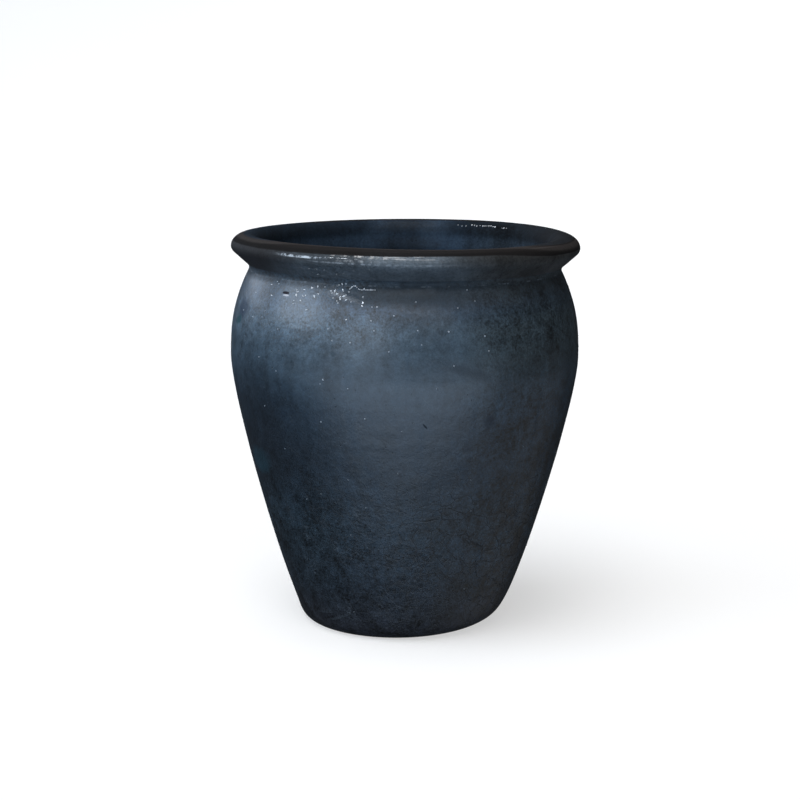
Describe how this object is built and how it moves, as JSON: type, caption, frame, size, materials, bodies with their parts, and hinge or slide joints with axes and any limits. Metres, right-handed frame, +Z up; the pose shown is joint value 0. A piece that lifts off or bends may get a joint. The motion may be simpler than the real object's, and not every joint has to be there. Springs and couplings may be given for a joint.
{
  "type": "clay jar",
  "caption": "Wide-mouthed glazed clay jar with a flat foot, a full belly, a drawn-in neck and a heavy rolled lip, for storing or holding things.",
  "frame": {"origin": "under the middle of the foot, on the surface that the jar stands on", "axes": "+Z up along the jar's axis of turning; +Y away from the viewer of the picture and +X to the viewer's right"},
  "size_m": [0.354, 0.354, 0.3988],
  "materials": {
    "glaze": "satin-gloss dark slate-blue glaze, crazed, thin and brown on the lip",
    "bare_clay": "unglazed fired stoneware, rough and matt"
  },
  "bodies": {
    "root": {"base_slab": "bare_clay", "lower_wall": "glaze", "shoulder_wall": "glaze", "rolled_rim": "glaze"}
  },
  "joints": []
}
